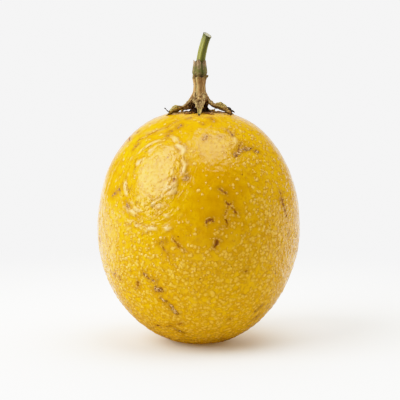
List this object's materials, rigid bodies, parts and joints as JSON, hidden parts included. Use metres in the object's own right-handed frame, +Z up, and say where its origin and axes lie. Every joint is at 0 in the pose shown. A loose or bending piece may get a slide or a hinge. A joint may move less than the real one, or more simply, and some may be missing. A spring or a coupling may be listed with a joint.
{
  "type": "passion fruit",
  "caption": "Ripe yellow passion fruit, an egg-shaped berry with its cut green stem, woody flower base and dried sepals on top, standing on its blossom end.",
  "frame": {"origin": "middle of the small flat spot on the blossom end that the fruit rests on", "axes": "+Z up along the fruit's long axis to the stem; +X the side the stem leans to; -Y the front, with the front sepal"},
  "size_m": [0.066, 0.065, 0.1011],
  "materials": {
    "rind": "waxy glossy skin, yellow with pale specks, small brown scars and fine wrinkles",
    "bark": "dry matt woody skin, ribbed lengthwise",
    "dry_sleeve": "dry papery bark with a torn rim",
    "green_bark": "fresh green stem skin, satin, ribbed lengthwise",
    "dry_leaf": "dried leathery sepal, matt, knobbly",
    "withered": "withered dark brown, matt"
  },
  "bodies": {
    "root": {"fruit": "rind", "stalk": "bark", "sheath": "dry_sleeve", "stem": "green_bark", "sepal_front": "dry_leaf", "sepal_right": "dry_leaf", "sepal_back_right": "dry_leaf", "sepal_back_left": "dry_leaf", "sepal_left": "dry_leaf", "petal_front_right": "withered", "petal_right": "withered", "petal_back": "withered", "petal_left": "withered", "petal_front_left": "withered", "threads": "withered"}
  },
  "joints": []
}
